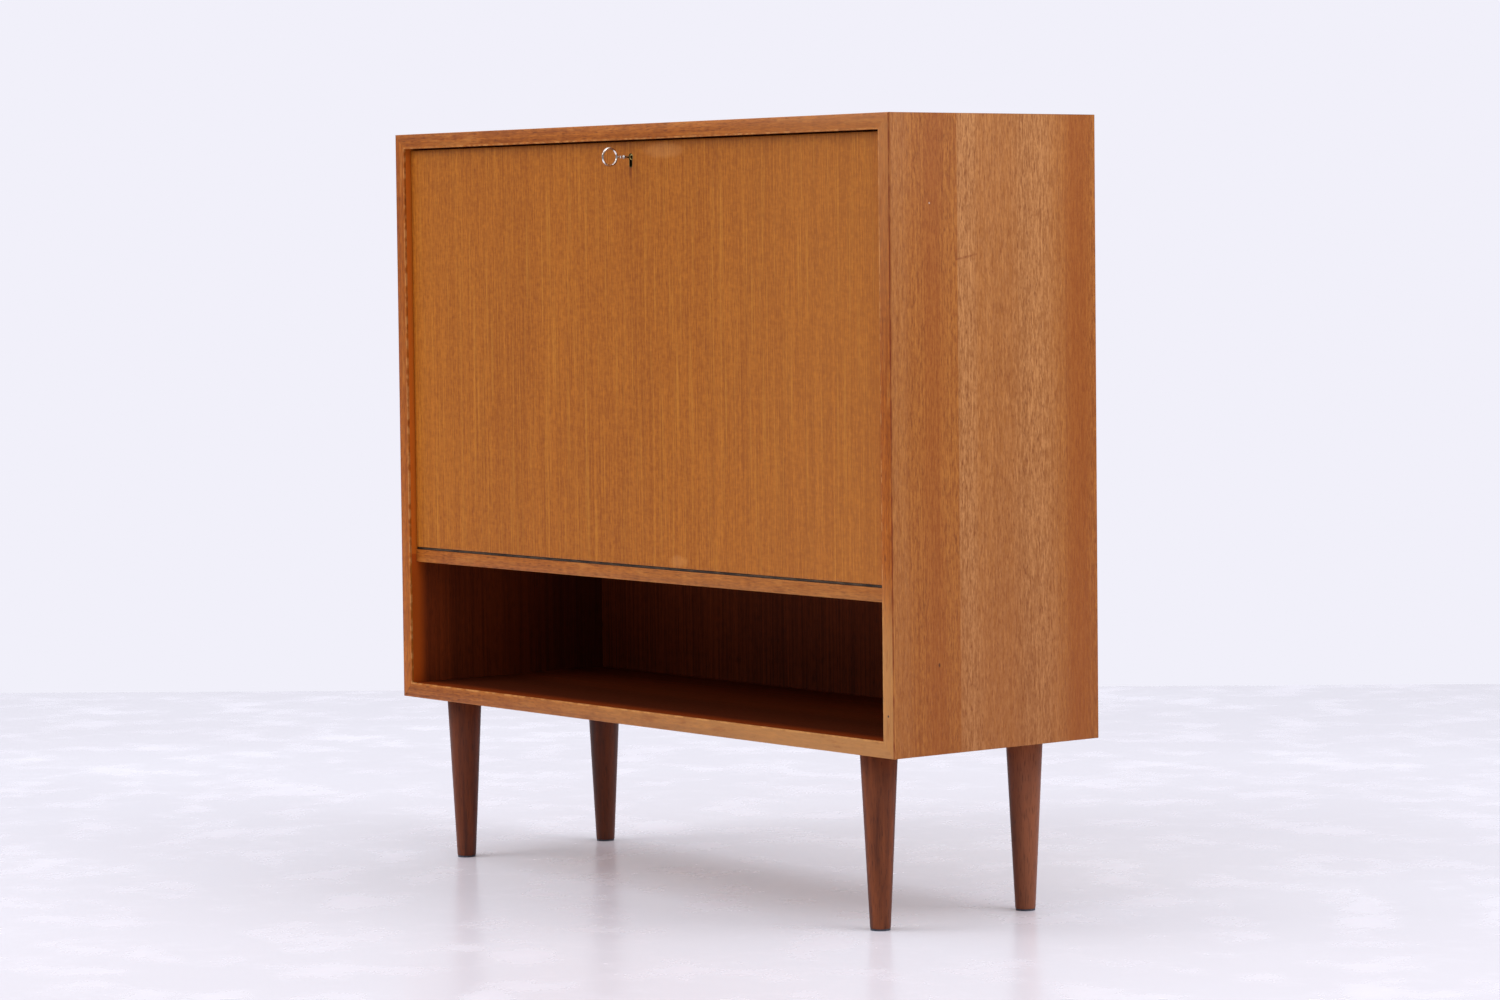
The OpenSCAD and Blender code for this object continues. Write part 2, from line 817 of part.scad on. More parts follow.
module key_escutcheon() {
    color(BRASS) difference() {
        liner_shape(0);
        liner_shape(liner_wall);
    }
}

module lock_case() {
    room_x = bolt_w / 2 + move_gap;
    color(BRASS) difference() {
        union() {
            span([-lock_w / 2, lock_w / 2], [flap_in - lock_d, flap_in], [lock_z, flap_top]);
            span([-cover_w / 2, cover_w / 2], [flap_in - lock_wall, flap_in], [lock_z, flap_top]);
        }
        span([-room_x, room_x], [flap_in - lock_d + lock_wall, flap_in - lock_wall],
             [lock_z + lock_wall, flap_top + over]);
        keyhole(flap_in - lock_d - over, flap_in - lock_d + lock_wall + over, stem_d + hole_room,
                bit_t + hole_room, bit_r + hole_room);
        rod_y(0, key_z, flap_in - lock_wall - over, flap_in - lock_wall + stem_socket, stem_d + 2 * fit_gap);
        flap_screw_shapes();
    }
}

// Fork-shaped bolt; its legs straddle the circle that the key's bit sweeps
module lock_bolt() {
    fork_r = bit_r + bit_room;
    color(BRASS) difference() {
        span([-bolt_w / 2, bolt_w / 2], [bolt_y - bolt_t / 2, bolt_y + bolt_t / 2],
             [lock_z + lock_wall + 1, bolt_top]);
        rod_y(0, key_z, bolt_y - bolt_t, bolt_y + bolt_t, 2 * fork_r);
        span([-fork_r, fork_r], [bolt_y - bolt_t, bolt_y + bolt_t], [lock_z, key_z]);
    }
}

module key() {
    bow_y = face_y - ring_out;
    bow_end = bow_y + ring_d / 2 - ring_wire_d / 2;
    color(STEEL) union() {
        translate([0, bow_y, key_z]) rotate([0, 90, 0])
            rotate_extrude($fn = 96) translate([(ring_d - ring_wire_d) / 2, 0]) circle(d = ring_wire_d);
        rod_y(0, key_z, bow_end, flap_in - lock_wall + 1, stem_d);
        translate([0, bow_end, key_z]) rotate([-90, 0, 0])
            cylinder(h = collar_l, d1 = collar_d, d2 = stem_d);
        translate([0, face_y - bead_out, key_z]) sphere(d = bead_d);
        span([-bit_t / 2, bit_t / 2], [bolt_y - bit_half_w, bolt_y + bit_half_w], [key_z - bit_r, key_z]);
    }
}

// ---------- legs ----------

module at_legs() {
    for (x = [leg_side - side_x, side_x - leg_side]) for (y = [front_y + leg_front, back_y - leg_back])
        translate([x, y, 0]) children();
}

module leg_bolt_shapes() {
    at_legs() translate([0, 0, body_z - pad_t - leg_bolt_down])
        cylinder(h = leg_bolt_down + pad_t + leg_bolt_up, d = leg_bolt_d);
}

module plate_screw_shapes() {
    at_legs() for (a = [90:120:330]) rotate([0, 0, a])
        translate([plate_screw_r, 0, body_z - pad_t]) rotate([180, 0, 0]) wood_screw(screw_d, 14);
}

module glide_shapes() {
    at_legs() {
        cylinder(h = pad_t, d = glide_d);
        cylinder(h = pad_t + glide_pin_l, d = glide_pin_d);
    }
}

// Straight round taper from the foot up to the plate
module leg(x, y) {
    color(WALNUT) difference() {
        translate([x, y, pad_t])
            cylinder(h = leg_h - 2 * pad_t, d1 = leg_foot_d, d2 = leg_top_d, $fn = 96);
        leg_bolt_shapes();
        glide_shapes();
    }
}

module leg_front_left() { leg(leg_side - side_x, front_y + leg_front); }
module leg_front_right() { leg(side_x - leg_side, front_y + leg_front); }
module leg_back_left() { leg(leg_side - side_x, back_y - leg_back); }
module leg_back_right() { leg(side_x - leg_side, back_y - leg_back); }

module leg_plates() {
    color(DARK) difference() {
        at_legs() translate([0, 0, body_z - pad_t]) cylinder(h = pad_t, d = plate_d);
        leg_bolt_shapes();
        plate_screw_shapes();
    }
}

module leg_plate_screws() {
    color(STEEL) plate_screw_shapes();
}

module leg_bolts() {
    color(STEEL) leg_bolt_shapes();
}

module foot_glides() {
    color(DARK) glide_shapes();
}

side_left();
side_right();
top_board();
bottom_board();
corner_splines();
lipping_left();
lipping_right();
lipping_top();
lipping_bottom();
deck_board();
deck_lipping();
deck_dowels();
back_panel();
back_screws();
stop_rail();
strike_plate();
carcass_fitting_screws();
insert_ends();
insert_dividers();
insert_top();
insert_shelves();
upper_shelf();
shelf_pins();
drawer_left_front();
drawer_left_sides();
drawer_left_back();
drawer_left_bottom();
drawer_left_knob();
drawer_right_front();
drawer_right_sides();
drawer_right_back();
drawer_right_bottom();
drawer_right_knob();
flap_board();
flap_lippings();
hinge_leaf_deck();
hinge_leaf_flap();
hinge_pin();
flap_fitting_screws();
stay_bracket_left();
stay_bracket_right();
stay_rivets();
stay_arm_left();
stay_arm_right();
stay_stud_left();
stay_stud_right();
lock_case();
lock_bolt();
key_escutcheon();
key();
leg_front_left();
leg_front_right();
leg_back_left();
leg_back_right();
leg_plates();
leg_plate_screws();
leg_bolts();
foot_glides();
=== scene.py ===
# A secretary desk on four turned legs, put together in the order of the real one.
# Metres. X runs along the width, Y towards the back, Z up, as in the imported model.
import json
import math

import bpy
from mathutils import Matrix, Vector

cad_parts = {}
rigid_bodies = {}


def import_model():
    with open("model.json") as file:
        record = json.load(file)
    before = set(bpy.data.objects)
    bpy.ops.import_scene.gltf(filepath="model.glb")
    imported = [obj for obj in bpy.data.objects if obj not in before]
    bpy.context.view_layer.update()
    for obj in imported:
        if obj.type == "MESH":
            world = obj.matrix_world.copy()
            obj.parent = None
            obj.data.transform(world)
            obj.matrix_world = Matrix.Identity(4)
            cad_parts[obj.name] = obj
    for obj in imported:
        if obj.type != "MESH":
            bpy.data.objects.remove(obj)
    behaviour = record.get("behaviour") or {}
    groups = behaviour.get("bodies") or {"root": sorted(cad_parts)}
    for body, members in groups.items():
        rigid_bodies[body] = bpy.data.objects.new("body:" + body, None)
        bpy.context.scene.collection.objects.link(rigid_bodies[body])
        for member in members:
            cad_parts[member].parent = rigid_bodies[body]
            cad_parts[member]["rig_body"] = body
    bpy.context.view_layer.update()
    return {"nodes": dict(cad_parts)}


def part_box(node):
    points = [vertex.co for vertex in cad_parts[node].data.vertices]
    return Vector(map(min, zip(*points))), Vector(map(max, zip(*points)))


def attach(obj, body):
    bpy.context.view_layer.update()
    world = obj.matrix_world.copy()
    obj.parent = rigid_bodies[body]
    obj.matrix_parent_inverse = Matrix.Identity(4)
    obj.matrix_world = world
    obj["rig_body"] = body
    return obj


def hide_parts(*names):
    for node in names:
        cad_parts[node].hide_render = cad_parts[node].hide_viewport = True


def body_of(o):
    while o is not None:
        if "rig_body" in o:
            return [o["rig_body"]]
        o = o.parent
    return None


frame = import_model()
nodes = frame["nodes"]
bpy.ops.object.select_all(action="DESELECT")


# ---------------------------------------------------------------- camera
# A long lens a little over the middle of the desk, turned to its right front corner.
camera_place = (4.31510, -3.38626, 0.80124)
camera_tilt, camera_roll, camera_turn = 86.6694, 0.6362, 51.4472
bpy.ops.object.camera_add(
    location=camera_place,
    rotation=(math.radians(camera_tilt), math.radians(camera_roll), math.radians(camera_turn)),
)
camera = bpy.context.object
camera.data.lens = 105.35
camera.data.sensor_width = 36
camera.data.clip_end = 60
bpy.context.scene.camera = camera
bpy.context.scene.view_settings.view_transform = "Standard"
bpy.context.scene.view_settings.look = "None"


# ---------------------------------------------------------------- floor and light
# A pale sealed studio floor, with a bright even room round it and two broad soft
# lights over the desk. None of it is part of the desk.
class Figure:
    """A value or colour that changes over a surface. Sums and products add Math nodes."""

    def __init__(self, finish, socket):
        self.finish = finish
        self.socket = socket

    def math(self, operation, first, second=None):
        inputs = {0: first, 1: second}
        return self.finish.node("ShaderNodeMath", {"operation": operation}, inputs)

    def __add__(self, other):
        return self.math("ADD", self, other)

    def __sub__(self, other):
        return self.math("SUBTRACT", self, other)

    def __rsub__(self, other):
        return self.math("SUBTRACT", other, self)

    def __mul__(self, other):
        return self.math("MULTIPLY", self, other)

    def __truediv__(self, other):
        return self.math("DIVIDE", self, other)

    def __pow__(self, other):
        return self.math("POWER", self, other)

    def __lt__(self, other):
        return self.math("LESS_THAN", self, other)

    def __gt__(self, other):
        return self.math("GREATER_THAN", self, other)

    def __abs__(self):
        return self.math("ABSOLUTE", self)

    __radd__ = __add__


class Finish:
    """One finish, as a material whose nodes are added by name."""

    def __init__(self, name):
        self.material = bpy.data.materials.new(name)
        self.material.use_nodes = True
        self.tree = self.material.node_tree
        self.tree.nodes.clear()
        self.place = self.node("ShaderNodeTexCoord", out="Object")

    def node(self, kind, settings=None, inputs=None, out=0):
        """Adds one node, sets it up, and links or fills its inputs."""
        made = self.tree.nodes.new(kind)
        for name, value in (settings or {}).items():
            setattr(made, name, value)
        for name, value in (inputs or {}).items():
            if isinstance(value, Figure):
                self.tree.links.new(value.socket, made.inputs[name])
            elif value is not None:
                made.inputs[name].default_value = value
        return Figure(self, made.outputs[out]) if made.outputs else None

    def axes(self):
        """The place on the piece as three values."""
        split = self.node("ShaderNodeSeparateXYZ", inputs={0: self.place})
        outputs = split.socket.node.outputs
        return [Figure(self, outputs[i]) for i in range(3)]

    def noise(self, scale, shift=0.0, detail=2.0, roughness=0.5):
        """Cloud values round a half, drawn out by a different scale on each axis."""
        place = self.node(
            "ShaderNodeMapping",
            inputs={"Vector": self.place, "Scale": scale, "Location": (shift, shift * 1.7, shift * 2.3)},
        )
        inputs = {"Vector": place, "Scale": 1.0, "Detail": detail, "Roughness": roughness}
        return self.node("ShaderNodeTexNoise", inputs=inputs)

    def rise(self, value, low, high):
        """0 under low, 1 over high, and a smooth rise between them."""
        inputs = {"Value": value, "From Min": low, "From Max": high}
        return self.node("ShaderNodeMapRange", {"interpolation_type": "SMOOTHSTEP"}, inputs)

    def mix(self, share, first, second):
        """One colour turning into another as share goes from 0 to 1."""
        settings = {"data_type": "RGBA"}
        return self.node("ShaderNodeMix", settings, {0: share, 6: first, 7: second}, out=2)

    def surface(self, colour, roughness, height=None, relief=0.0002, **constants):
        """Closes the finish with one shader; constants go straight on its sockets."""
        inputs = {"Base Color": colour, "Roughness": roughness}
        inputs.update({name.replace("_", " "): value for name, value in constants.items()})
        if height is not None:
            bump = {"Height": height, "Distance": relief, "Strength": 1.0}
            inputs["Normal"] = self.node("ShaderNodeBump", inputs=bump)
        shader = self.node("ShaderNodeBsdfPrincipled", inputs=inputs)
        self.node("ShaderNodeOutputMaterial", inputs={"Surface": shader})
        return self.material


def paint(red, green, blue):
    """A screen colour in 0 to 255 as the light it gives back."""
    shares = [value / 255 for value in (red, green, blue)]
    light = [s / 12.92 if s <= 0.04045 else ((s + 0.055) / 1.055) ** 2.4 for s in shares]
    return (*light, 1.0)


floor_reach = 2.416  # half of one side
floor_turn = math.radians(48.62)
bpy.ops.mesh.primitive_plane_add(size=2 * floor_reach, rotation=(0, 0, floor_turn))
floor = bpy.context.object
floor.name = "studio_floor"
bpy.ops.object.transform_apply(location=False, rotation=True, scale=False)
sealed = Finish("sealed_floor")
smudge = sealed.rise(sealed.noise((9, 9, 9), 3.1, 6, 0.6), 0.45, 0.75)
patch = sealed.noise((1.3, 1.3, 1.3), 7.4, 3)
floor_tone = sealed.mix(smudge * 0.5, paint(231, 229, 238), paint(216, 213, 221))
floor_tone = sealed.mix(sealed.rise(patch, 0.4, 0.7) * 0.5, floor_tone, paint(238, 237, 246))
ground_x, ground_y = sealed.axes()[:2]
towards_front = ground_x * 0.79 - ground_y * 0.61
# Painted shade: the floor grows darker towards the front.
floor_tone = sealed.mix(sealed.rise(towards_front, 0.1, 0.9) * 0.5, floor_tone, paint(218, 214, 221))
floor.data.materials.append(sealed.surface(floor_tone, 0.22 + smudge * 0.15))

room = bpy.data.worlds.new("room")
bpy.context.scene.world = room
room.use_nodes = True
room_nodes = room.node_tree.nodes
far_wall = room_nodes["Background"]
far_wall.inputs["Color"].default_value = paint(241, 240, 250)
dim_room = room_nodes.new("ShaderNodeBackground")
dim_room.inputs["Color"].default_value = paint(243, 243, 248)
direction = room_nodes.new("ShaderNodeTexCoord")
height_share = room_nodes.new("ShaderNodeSeparateXYZ")
glow = room_nodes.new("ShaderNodeMapRange")
glow.interpolation_type = "SMOOTHSTEP"
for socket, value in (("From Min", 0.30), ("From Max", 0.75), ("To Min", 0.42), ("To Max", 1.70)):
    glow.inputs[socket].default_value = value
room.node_tree.links.new(direction.outputs["Generated"], height_share.inputs[0])
room.node_tree.links.new(height_share.outputs["Z"], glow.inputs["Value"])
room.node_tree.links.new(glow.outputs[0], dim_room.inputs["Strength"])
seen = room_nodes.new("ShaderNodeLightPath")
room_mix = room_nodes.new("ShaderNodeMixShader")
room.node_tree.links.new(seen.outputs["Is Camera Ray"], room_mix.inputs[0])
room.node_tree.links.new(dim_room.outputs[0], room_mix.inputs[1])
room.node_tree.links.new(far_wall.outputs[0], room_mix.inputs[2])
room.node_tree.links.new(room_mix.outputs[0], room_nodes["World Output"].inputs["Surface"])


def soft_light(name, place, aim, size, watts):
    """A square soft box at a place, turned to what it lights."""
    bpy.ops.object.light_add(type="AREA", location=place)
    light = bpy.context.object
    light.name = name
    light.data.shape = "RECTANGLE"
    light.data.size, light.data.size_y = size
    light.data.energy = watts
    light.rotation_euler = (Vector(aim) - Vector(place)).to_track_quat("-Z", "Y").to_euler()
    light.visible_camera = False


desk_middle = (0, 0, 0.5)
box_size = (2.0, 2.0)
box_watts = 48
soft_light("left_light", (-1.5, -2.6, 2.9), desk_middle, box_size, box_watts)
soft_light("right_light", (2.8, 1.2, 2.9), desk_middle, box_size, box_watts)


# ---------------------------------------------------------------- carcass boards
# Sides, top and bottom are blockboard faced with open-pored veneer, mitred at the
# corners. The outside has gone lighter in the light; the inside kept its dark brown.
# Inside, painted shade darkens the timber deeper in, and a painted lit strip runs just behind the front
# edge.
X, Y, Z = 0, 1, 2
front_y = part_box("lipping_left")[0].y
back_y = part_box("side_left")[1].y
seam_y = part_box("lipping_left")[1].y
outer_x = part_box("side_right")[1].x
inner_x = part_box("side_right")[0].x
foot_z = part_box("side_right")[0].z
head_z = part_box("side_right")[1].z
floor_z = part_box("bottom_board")[1].z
ceiling_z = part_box("top_board")[0].z
skim = 0.0004  # how far under a face its own finish still counts


def timber(finish, run, light, dark, pore_tone, stripe=260, stripe_weight=1.3, fleck=(650, 80),
           fleck_weight=0.4, pore=(700, 70), pore_share=0.5, cloth=(70, 130), mottle=0.25,
           broad=0.6, shift=0.0):
    """Colour and height of planed wood whose grain runs along one axis."""

    def drawn(across, along):
        return tuple(along if axis == run else across for axis in range(3))

    stripes = finish.noise(drawn(stripe, 2.2), shift + 1.3, 2, 0.55)
    fine = finish.noise(drawn(stripe * 3.3, 9), shift + 5.1, 1, 0.5)
    wide = finish.noise(drawn(9, 0.8), shift + 8.7, 2, 0.5)
    cross = finish.noise(drawn(*cloth), shift + 2.9, 2, 0.5)
    flecks = finish.noise(drawn(*fleck), shift + 6.6, 1, 0.5)
    pores = finish.noise(drawn(*pore), shift + 4.4, 1, 0.4)
    figure = (stripes - 0.5) * stripe_weight + (fine - 0.5) * stripe_weight * 0.6
    figure = figure + (flecks - 0.5) * fleck_weight + (wide - 0.5) * broad
    figure = figure + (cross - 0.5) * mottle + 0.5
    colour = finish.mix(finish.rise(figure, 0.0, 1.0), dark, light)
    open_pores = finish.rise(pores, 0.55, 0.72)
    colour = finish.mix(open_pores * pore_share, colour, pore_tone)
    return colour, (stripes - 0.5) * 0.25 - open_pores * 0.8


def band(finish, value, middle, half):
    """1 in a soft-edged band round a middle, and 0 well outside it."""
    return 1 - finish.rise(abs(value - middle), half * 0.4, half * 1.5)


def dress(material, *names):
    """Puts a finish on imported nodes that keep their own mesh."""
    for name in names:
        nodes[name].data.materials.clear()
        nodes[name].data.materials.append(material)


def eased(name, ease, material, exposed=lambda middle: True):
    """A board as sawn, with its free long arrises eased by a stroke of fine paper."""
    shortest_arris = 0.012
    on_plane = 0.00002
    sawn = nodes[name]
    piece = bpy.data.objects.new(name + "_eased", sawn.data.copy())
    bpy.context.scene.collection.objects.link(piece)
    bpy.ops.object.select_all(action="DESELECT")
    piece.select_set(True)
    bpy.context.view_layer.objects.active = piece
    bpy.ops.object.mode_set(mode="EDIT")
    bpy.ops.mesh.select_mode(type="EDGE")
    bpy.ops.mesh.select_all(action="SELECT")
    bpy.ops.mesh.remove_doubles(threshold=0.000004)
    bpy.ops.mesh.dissolve_limited(angle_limit=math.radians(0.6))
    bpy.ops.mesh.select_all(action="DESELECT")
    bpy.ops.object.mode_set(mode="OBJECT")
    bpy.ops.mesh.customdata_custom_splitnormals_clear()
    mesh = piece.data
    low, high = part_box(name)
    for edge in mesh.edges:
        ends = [mesh.vertices[i].co for i in edge.vertices]
        middle = (ends[0] + ends[1]) / 2
        planes = 0
        for axis in range(3):
            for plane in (low[axis], high[axis]):
                planes += all(abs(end[axis] - plane) < on_plane for end in ends)
        if planes == 2 and (ends[1] - ends[0]).length > shortest_arris and exposed(middle):
            edge.select = True
            for i in edge.vertices:
                mesh.vertices[i].select = True
    bpy.ops.object.mode_set(mode="EDIT")
    bpy.ops.mesh.bevel(offset=ease, segments=2, affect="EDGES", clamp_overlap=False)
    bpy.ops.object.mode_set(mode="OBJECT")
    bpy.ops.object.shade_smooth_by_angle(angle=math.radians(40))
    mesh.materials.clear()
    mesh.materials.append(material)
    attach(piece, body_of(sawn)[0])
    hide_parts(name)


def open_arris(middle):
    """True on the outside corners of the whole carcass, not where two boards meet."""
    touch = 0.0001
    free = abs(abs(middle.x) - outer_x) < touch
    free += min(abs(middle.z - foot_z), abs(middle.z - head_z)) < touch
    free += min(abs(middle.y - front_y), abs(middle.y - back_y)) < touch
    return free >= 2


def carcass_finish(name, run):
    """Leaves of veneer outside, in lighter and darker bands, and dark timber inside, with painted shade
    low outside and deep inside and a painted lit strip behind the front.
    """
    skin = Finish(name)
    x, y, z = skin.axes()
    pale, height = timber(skin, run, paint(194, 134, 80), paint(148, 90, 44), paint(116, 60, 26),
                          stripe=300, stripe_weight=0.6, fleck=(480, 74), fleck_weight=1.3,
                          pore=(850, 130), pore_share=0.7, cloth=(340, 240), mottle=0.7, broad=0.4)
    warm, close = timber(skin, run, paint(177, 110, 47), paint(142, 77, 29), paint(112, 56, 20),
                         stripe=330, stripe_weight=0.85, fleck=(500, 85), fleck_weight=1.3,
                         pore=(850, 120), pore_share=0.55, cloth=(340, 260), mottle=0.7, broad=0.3,
                         shift=11.0)
    behind = y - front_y
    above = z - foot_z
    wander = (skin.noise((0, 3, 3), 1.0, 2) - 0.5) * 0.022
    depth = behind + wander
    leaf = skin.rise(behind, 0.1020, 0.1032) * (1 - skin.rise(depth, 0.240, 0.290))
    light_bands = band(skin, depth, 0.117, 0.015) + band(skin, depth, 0.220, 0.028)
    pale_share = leaf * (0.52 + light_bands * 0.40) + band(skin, depth, 0.008, 0.020) * 0.35
    dark_bands = band(skin, depth, 0.066, 0.014) * 0.38 + band(skin, depth, 0.292, 0.019) * 0.55
    face = skin.mix(pale_share, warm, pale)
    face = skin.mix(dark_bands, face, paint(146, 75, 24))
    # Painted shade: the outside turns darker and warmer towards the floor.
    floor_shade_share = 1 - skin.rise(above, 0, 0.30)
    face = skin.mix(floor_shade_share * 0.20, face, paint(148, 76, 6))
    right = x > inner_x + 0.001
    speck_behind, speck_above = 0.0605, 0.6365
    speck = ((behind - speck_behind) ** 2 + (above - speck_above) ** 2) ** 0.5
    face = skin.mix((1 - skin.rise(speck, 0.0005, 0.0014)) * right * 0.75, face, paint(206, 184, 166))
    dent_behind, dent_above = 0.070, 0.104
    dent = ((behind - dent_behind) ** 2 + ((above - dent_above) * 0.6) ** 2) ** 0.5
    face = skin.mix((1 - skin.rise(dent, 0.0008, 0.0020)) * right * 0.8, face, paint(70, 30, 14))
    scratch_start, scratch_end, scratch_above, scratch_slope = 0.100, 0.133, 0.5545, 0.17
    scratch = 1 - skin.rise(abs(above - scratch_above - behind * scratch_slope), 0.0006, 0.0018)
    scratch = scratch * (behind > scratch_start) * (behind < scratch_end) * right
    scratch = scratch * skin.rise(skin.noise((160, 160, 160), 9.0, 2), 0.40, 0.60)
    face = skin.mix(scratch * 0.55, face, paint(126, 60, 30))
    inside_tone_and_shade = timber(skin, run, paint(132, 54, 18), paint(94, 36, 11), paint(48, 17, 6),
                 stripe=230, pore_share=0.35, shift=23.0)[0]
    if run == X:
        # Painted light and shade on the top and bottom boards inside: a warm lit strip just behind the
        # front, then painted shade deeper in.
        shade = skin.rise(behind, 0.008, 0.040) * (1 - skin.rise(behind, 0.110, 0.200))
        inside_tone_and_shade = skin.mix(1 - skin.rise(behind, 0.016, 0.050), inside_tone_and_shade, paint(118, 44, 6))
        inside_tone_and_shade = skin.mix(shade * 0.72, inside_tone_and_shade, paint(40, 10, 2))
    else:
        # Painted shade: the inner sides darken towards the back.
        inside_tone_and_shade = skin.mix(skin.rise(y, front_y + 0.120, back_y) * 0.6, inside_tone_and_shade, paint(60, 26, 14))
        # Painted light: a bright strip just behind the front of the inner sides, brighter above the
        # deck.
        lit_edge_strip = 1 - skin.rise(behind, 0.010, 0.028)
        over_deck = z > floor_z + 0.17
        lit = skin.mix(over_deck, paint(184, 80, 16), paint(204, 104, 26))
        inside_tone_and_shade = skin.mix(lit_edge_strip * (abs(x) > inner_x - skim), inside_tone_and_shade, lit)
    inside = (abs(x) < inner_x + skim) * (z > floor_z - skim) * (z < ceiling_z + skim)
    colour = skin.mix(inside, face, inside_tone_and_shade)
    rough = 0.50 - height * 0.12 + inside * 0.05
    relief = height * pale_share + close * (1 - pale_share)
    gloss = 0.08 if run == X else 0.20
    return skin.surface(colour, rough, relief, 0.00012, Specular_IOR_Level=gloss)


side_finish = carcass_finish("side_veneer", Z)
board_finish = carcass_finish("board_veneer", X)
board_ease = 0.0006
for board in ("side_left", "side_right"):
    eased(board, board_ease, side_finish, open_arris)
for board in ("top_board", "bottom_board"):
    eased(board, board_ease, board_finish, open_arris)


# ---------------------------------------------------------------- corner joints
# Loose beech splines in the mitres and dowels in the ends of the deck, all glued in.
# None of them shows once the desk is together.
def plain_wood(name, run, light, dark, shift):
    """Planed wood with a quiet grain along one axis."""
    wood = Finish(name)
    colour, height = timber(wood, run, light, dark, dark, stripe=160, pore_share=0.3, shift=shift)
    return wood.surface(colour, 0.55 - height * 0.1, height, 0.0001, Specular_IOR_Level=0.35)


beech = plain_wood("beech", Y, paint(214, 176, 128), paint(186, 142, 96), 31.0)
dress(beech, "corner_splines", "deck_dowels")


# ---------------------------------------------------------------- lippings
# Solid strips glued round the front edges and mitred at the corners. The side veneer
# laps over them, so its dark glue line shows all down the arris. One strip has a
# filled pin hole near its foot, and the arrises round the opening are rubbed pale.
def lipping_finish(name, run, light, dark, pore_tone, shift):
    """Strip wood in front, side veneer with its glue line on the outer face, and wear."""
    strip = Finish(name)
    x, y, z = strip.axes()
    colour, height = timber(strip, run, light, dark, pore_tone, stripe_weight=1.0, fleck_weight=1.0,
                            pore=(760, 85), pore_share=0.6, mottle=0.5, broad=0.9, shift=shift)
    foot = (1 - strip.rise(z, foot_z + 0.10, foot_z + 0.24)) * strip.rise(x, -0.50, 0.44)
    colour = strip.mix(foot * 0.7, colour, paint(188, 136, 80))
    head = strip.rise(z, head_z - 0.37, head_z) * strip.rise(x, 0.40, 0.47)
    if run == Z:
        colour = strip.mix(head * 0.5, colour, paint(196, 134, 78))
    lap = timber(strip, run, paint(183, 119, 60), paint(146, 84, 36), paint(113, 58, 22),
                 stripe=330, fleck_weight=1.3, pore_share=0.55, shift=shift + 4.0)[0]
    lapped = 1 - (abs(x) < outer_x - skim) * (z > foot_z + skim) * (z < head_z - skim)
    colour = strip.mix(lapped, colour, lap)
    breaks = strip.rise(strip.noise((60, 60, 60), 17.0, 2), 0.30, 0.62)
    from_arris = outer_x - abs(x) + y - front_y
    glue_line = (1 - strip.rise(from_arris, 0.0008, 0.0016)) * (0.55 + breaks * 0.45)
    colour = strip.mix(glue_line * 0.8, colour, paint(108, 32, 6))
    if run == X:
        # The top strip turns lighter towards its right end.
        lighter_right_end = strip.rise(x, 0.10, 0.42) * (z > head_z - 0.03)
        colour = strip.mix(lighter_right_end * 0.3, colour, paint(196, 130, 74))
    reveal = abs(abs(x) - inner_x)
    if run == X:
        reveal = abs(abs(z - (floor_z + ceiling_z) / 2) - (ceiling_z - floor_z) / 2)
    patches = strip.rise(strip.noise((90, 90, 90), 27.0, 3), 0.42, 0.62)
    rubbed = (1 - strip.rise(reveal, 0.0010, 0.0026)) * patches
    colour = strip.mix(rubbed * (y < seam_y) * 0.5, colour, paint(216, 154, 88))
    blotch = strip.noise(tuple(22 if axis == run else 110 for axis in range(3)), shift + 37.0, 3, 0.6)
    colour = strip.mix(strip.rise(blotch, 0.52, 0.72) * 0.25, colour, paint(206, 138, 66))
    colour = strip.mix((1 - strip.rise(blotch, 0.30, 0.46)) * 0.35, colour, paint(128, 60, 14))
    pin_in, pin_above = 0.0095, 0.049
    pin = ((x - outer_x + pin_in) ** 2 + (z - foot_z - pin_above) ** 2) ** 0.5
    colour = strip.mix(1 - strip.rise(pin, 0.0009, 0.0018), colour, paint(70, 50, 44))
    return strip.surface(colour, 0.48 - height * 0.1, height, 0.0001, Specular_IOR_Level=0.22)


upright_strip = lipping_finish("upright_lipping", Z, paint(179, 98, 24), paint(137, 66, 12),
                               paint(96, 41, 8), 3.0)
level_strip = lipping_finish("level_lipping", X, paint(176, 100, 32), paint(134, 67, 14),
                             paint(96, 42, 8), 9.0)
lipping_ease = 0.0007


def front_arris(middle):
    """True in front of the seam between a lipping and its board."""
    return middle.y < seam_y - 0.001


for strip_name in ("lipping_left", "lipping_right"):
    eased(strip_name, lipping_ease, upright_strip, front_arris)
for strip_name in ("lipping_top", "lipping_bottom"):
    eased(strip_name, lipping_ease, level_strip, front_arris)


# ---------------------------------------------------------------- deck
# The fixed shelf under the flap, dowelled between the sides, lipped at the front and
# veneered below like the inside of the carcass.
deck_ease = 0.0005
deck_front_y = seam_y + 0.008
eased("deck_lipping", deck_ease, level_strip, lambda middle: middle.y < deck_front_y)
dress(board_finish, "deck_board")


# ---------------------------------------------------------------- back panel
# Thin plywood in a rebate, screwed round its edge. Its inner face is veneered brown
# and shows at the back of the open compartment.
def metal_finish(name, light, rough, brushed=(300, 300, 300)):
    """Brushed or plated metal that has gone dull in cloudy patches."""
    metal = Finish(name)
    haze = metal.noise(brushed, 2.0, 3)
    cloud = metal.noise((25, 25, 25), 6.0, 3)
    dull = (*(value * 0.55 for value in light[:3]), 1)
    tone = metal.mix(metal.rise(cloud, 0.35, 0.75) * 0.4, light, dull)
    return metal.surface(tone, rough + (haze - 0.5) * 0.25, haze, 0.00002, Metallic=1.0)


